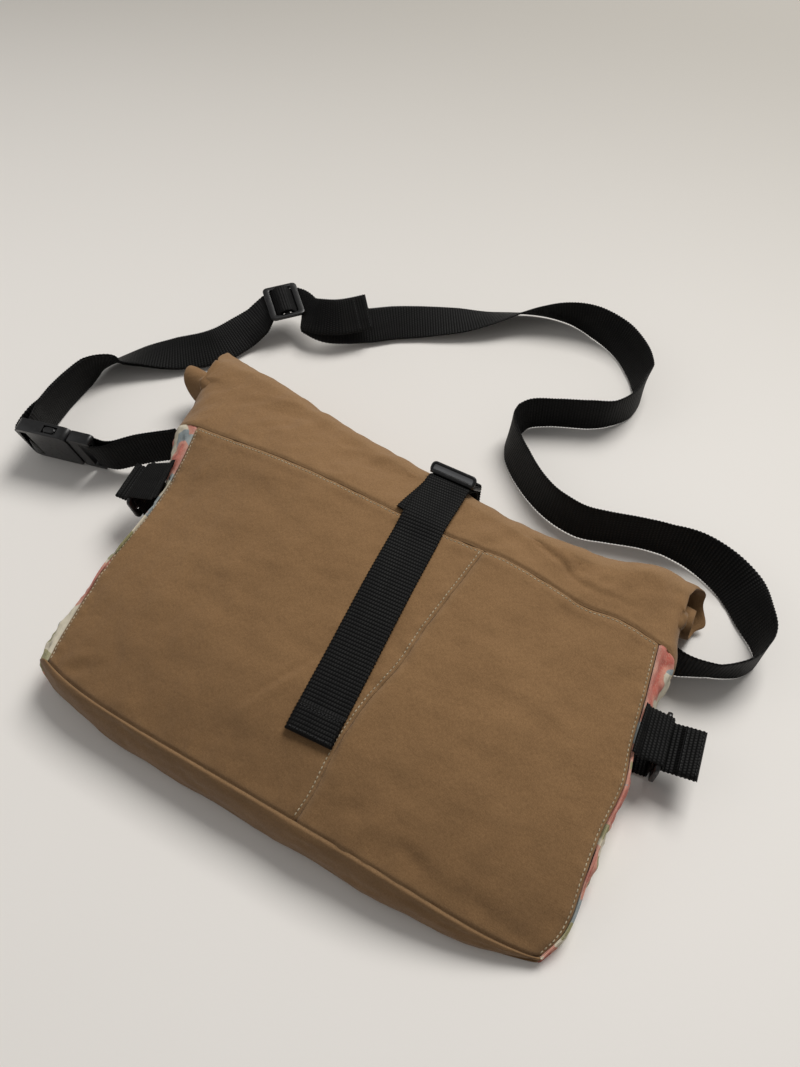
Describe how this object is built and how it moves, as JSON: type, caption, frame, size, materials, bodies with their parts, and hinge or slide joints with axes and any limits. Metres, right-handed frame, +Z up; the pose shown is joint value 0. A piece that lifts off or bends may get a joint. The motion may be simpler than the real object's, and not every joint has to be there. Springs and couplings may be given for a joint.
{
  "type": "roll-top messenger bag",
  "caption": "Small canvas messenger bag lying on its back, top rolled over and strapped down, printed side gussets, webbing shoulder strap laid out behind it",
  "frame": {"origin": "on the table, in the middle of the back panel's flat face, half way between the base seam and the top seam", "axes": "+X across the bag to its right, +Y from the base to the rolled top, +Z up from the table through the front"},
  "size_m": [0.5721, 0.4988, 0.073],
  "materials": {
    "brown_canvas": "brown woven canvas with tan topstitching, a little creased",
    "floral_print": "cream cotton with a coral, olive and grey-blue leaf print",
    "black_webbing": "black ribbed polypropylene webbing",
    "black_plastic": "black moulded plastic"
  },
  "bodies": {
    "root": {"front_panel_left": "brown_canvas", "front_panel_right": "brown_canvas", "side_gusset_right": "floral_print", "back_panel": "brown_canvas", "side_gusset_left": "floral_print", "base_panel": "brown_canvas", "rolled_top": "brown_canvas", "closure_buckle": "black_plastic", "closure_strap": "black_webbing", "closure_anchor": "black_webbing", "side_slider_right": "black_plastic", "side_anchor_right": "black_webbing", "side_strap_right": "black_webbing", "side_slider_left": "black_plastic", "side_anchor_left": "black_webbing", "side_strap_left": "black_webbing", "buckle_female": "black_plastic", "buckle_male": "black_plastic", "buckle_strap": "black_webbing", "strap_slider": "black_plastic", "shoulder_strap": "black_webbing"}
  },
  "joints": []
}
